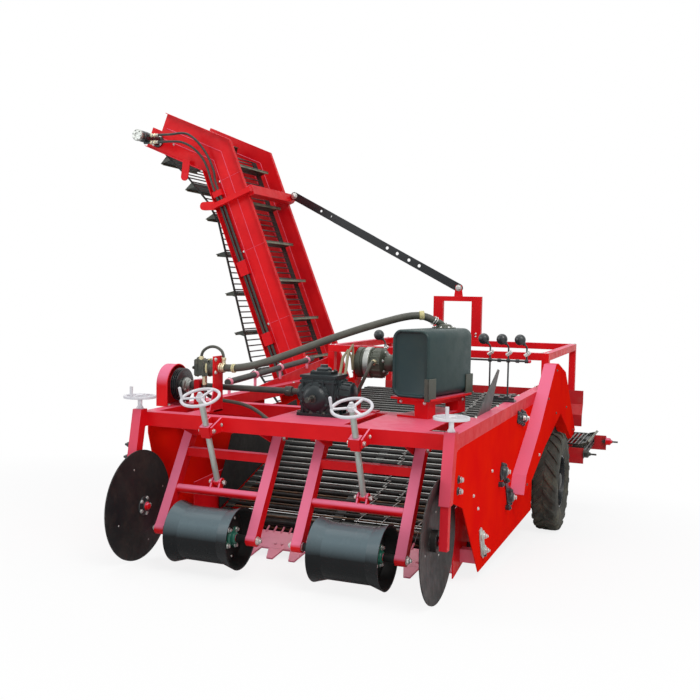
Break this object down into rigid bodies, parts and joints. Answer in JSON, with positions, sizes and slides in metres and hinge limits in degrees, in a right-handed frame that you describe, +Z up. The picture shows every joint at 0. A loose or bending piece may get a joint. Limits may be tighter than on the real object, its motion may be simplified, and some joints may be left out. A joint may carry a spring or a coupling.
{
  "type": "potato harvester",
  "caption": "Trailed two-row potato harvester with a rod-chain digging web, rear cross conveyor and tall side elevator, parked with its nose on the shares.",
  "frame": {"origin": "on the ground, under the middle of the bounding box", "axes": "+Z up, +Y to the rear of the machine, +X to its left; the nose points to -Y"},
  "size_m": [4.8074, 4.9637, 3.8339],
  "materials": {
    "black_paint": "gloss",
    "cast_black": "gloss",
    "hose_rubber": "satin",
    "pump_silver": "cast",
    "red_paint": "satin",
    "tank_plastic": "satin",
    "tyre_rubber": "matt",
    "web_steel": "dark",
    "worn_steel": "worn",
    "zinc": "satin"
  },
  "bodies": {
    "chassis": {"axle": "red_paint", "belt_guard": "red_paint", "centre_pump": "pump_silver", "chain_case": "red_paint", "chain_tensioner": "web_steel", "chassis_rails": "red_paint", "control_levers": "cast_black", "cross_conveyor_drums": "web_steel", "cross_conveyor_frame": "red_paint", "cross_conveyor_web": "web_steel", "digging_web_bottom": "web_steel", "digging_web_top": "web_steel", "divider_plate": "web_steel", "front_beam": "red_paint", "front_legs": "red_paint", "gearbox": "cast_black", "low_hose": "hose_rubber", "lower_rear_rails": "red_paint", "oil_tank": "tank_plastic", "pipe_bundle": "zinc", "pump_loop_hose": "hose_rubber", "rear_board": "red_paint", "rear_posts": "red_paint", "rear_upper_frame": "red_paint", "right_pump": "cast_black", "shares": "worn_steel", "side_curtains": "hose_rubber", "side_panels": "red_paint", "sleeve_hose": "hose_rubber", "strut_portal": "red_paint", "suction_hose": "hose_rubber", "tank_stand": "red_paint", "web_drums": "web_steel"},
    "wheel_left": {"tyre_left": "tyre_rubber", "rim_left": "black_paint"},
    "wheel_right": {"tyre_right": "tyre_rubber", "rim_right": "black_paint"},
    "coulter_left": {"coulter_left": "black_paint"},
    "coulter_right": {"coulter_right": "black_paint"},
    "roller_frame_left": {"roller_frame_left": "red_paint"},
    "roller_frame_right": {"roller_frame_right": "red_paint"},
    "roller_left": {"roller_left": "black_paint"},
    "roller_right": {"roller_right": "black_paint"},
    "screw_trunnion_left": {"screw_trunnion_left": "red_paint"},
    "screw_trunnion_right": {"screw_trunnion_right": "red_paint"},
    "depth_screw_left": {"depth_screw_left": "zinc"},
    "depth_screw_right": {"depth_screw_right": "zinc"},
    "elevator": {"elevator_brackets": "red_paint", "elevator_collar": "red_paint", "elevator_drums": "web_steel", "elevator_motor": "cast_black", "elevator_walls": "red_paint", "elevator_web_carrying": "web_steel", "elevator_web_return": "web_steel", "motor_hoses": "hose_rubber"},
    "strut_lower": {"strut_lower": "black_paint"},
    "strut_upper": {"strut_upper": "black_paint"},
    "pto_shaft": {"pto_shaft": "zinc"},
    "drive_shaft": {"cross_shaft": "zinc", "drive_pulley": "black_paint"}
  },
  "joints": [
    {"name": "wheel_left_spin", "type": "hinge", "parent": "chassis", "child": "wheel_left", "pos_m": [2.05372, 0.61438, 0.39], "axis": [1, 0, 0], "continuous": true},
    {"name": "coulter_left_spin", "type": "hinge", "parent": "chassis", "child": "coulter_left", "pos_m": [1.88472, -2.15588, 0.335], "axis": [1, 0, 0], "continuous": true},
    {"name": "roller_frame_left_lift", "type": "hinge", "parent": "chassis", "child": "roller_frame_left", "pos_m": [1.43972, -1.90902, 0.78197], "axis": [1, 0, 0], "range_deg": [-6, 1]},
    {"name": "roller_left_spin", "type": "hinge", "parent": "roller_frame_left", "child": "roller_left", "pos_m": [1.43972, -2.18593, 0.22285], "axis": [1, 0, 0], "continuous": true},
    {"name": "wheel_right_spin", "type": "hinge", "parent": "chassis", "child": "wheel_right", "pos_m": [-0.04628, 0.61438, 0.39], "axis": [1, 0, 0], "continuous": true},
    {"name": "coulter_right_spin", "type": "hinge", "parent": "chassis", "child": "coulter_right", "pos_m": [0.12272, -2.15588, 0.335], "axis": [1, 0, 0], "continuous": true},
    {"name": "roller_frame_right_lift", "type": "hinge", "parent": "chassis", "child": "roller_frame_right", "pos_m": [0.56772, -1.90902, 0.78197], "axis": [1, 0, 0], "range_deg": [-6, 1]},
    {"name": "roller_right_spin", "type": "hinge", "parent": "roller_frame_right", "child": "roller_right", "pos_m": [0.56772, -2.18593, 0.22285], "axis": [1, 0, 0], "continuous": true},
    {"name": "screw_left_tilt", "type": "hinge", "parent": "chassis", "child": "screw_trunnion_left", "pos_m": [1.45972, -2.19962, 0.80899], "axis": [1, 0, 0], "range_deg": [-4, 4]},
    {"name": "screw_left_slide", "type": "slide", "parent": "screw_trunnion_left", "child": "depth_screw_left", "axis": [0, 0.4406, -0.8977], "range_m": [-0.05, 0.05]},
    {"name": "screw_right_tilt", "type": "hinge", "parent": "chassis", "child": "screw_trunnion_right", "pos_m": [0.54772, -2.19962, 0.80899], "axis": [1, 0, 0], "range_deg": [-4, 4]},
    {"name": "screw_right_slide", "type": "slide", "parent": "screw_trunnion_right", "child": "depth_screw_right", "axis": [0, 0.4406, -0.8977], "range_m": [-0.05, 0.05]},
    {"name": "elevator_tilt", "type": "hinge", "parent": "chassis", "child": "elevator", "pos_m": [-0.39628, 1.98189, 0.59062], "axis": [0, 0.996, 0.0898], "range_deg": [-5, 5]},
    {"name": "strut_tilt", "type": "hinge", "parent": "chassis", "child": "strut_lower", "pos_m": [0.79372, 2.24308, 2.07005], "axis": [0, 0.996, 0.0898], "range_deg": [-12, 12]},
    {"name": "strut_slide", "type": "slide", "parent": "strut_lower", "child": "strut_upper", "axis": [-0.8871, -0.0414, 0.4596], "range_m": [-0.35, 0.35]},
    {"name": "drive_shaft_spin", "type": "hinge", "parent": "chassis", "child": "drive_shaft", "pos_m": [0.50372, -1.74423, 1.04785], "axis": [1, 0, 0], "continuous": true},
    {"name": "pto_spin", "type": "hinge", "parent": "chassis", "child": "pto_shaft", "pos_m": [1.03372, -1.85154, 1.01307], "axis": [0, 0.996, 0.0898], "continuous": true}
  ],
  "couplings": [
    {"joint": "screw_left_tilt", "follows": "roller_frame_left_lift", "ratio": 0.55289},
    {"joint": "screw_left_slide", "follows": "roller_frame_left_lift", "m_per_rad": 0.24897},
    {"joint": "screw_right_tilt", "follows": "roller_frame_right_lift", "ratio": 0.55289},
    {"joint": "screw_right_slide", "follows": "roller_frame_right_lift", "m_per_rad": 0.24897},
    {"joint": "strut_tilt", "follows": "elevator_tilt", "ratio": 0.81677},
    {"joint": "strut_slide", "follows": "elevator_tilt", "m_per_rad": -1.8355},
    {"joint": "pto_spin", "follows": "drive_shaft_spin", "ratio": 1}
  ]
}
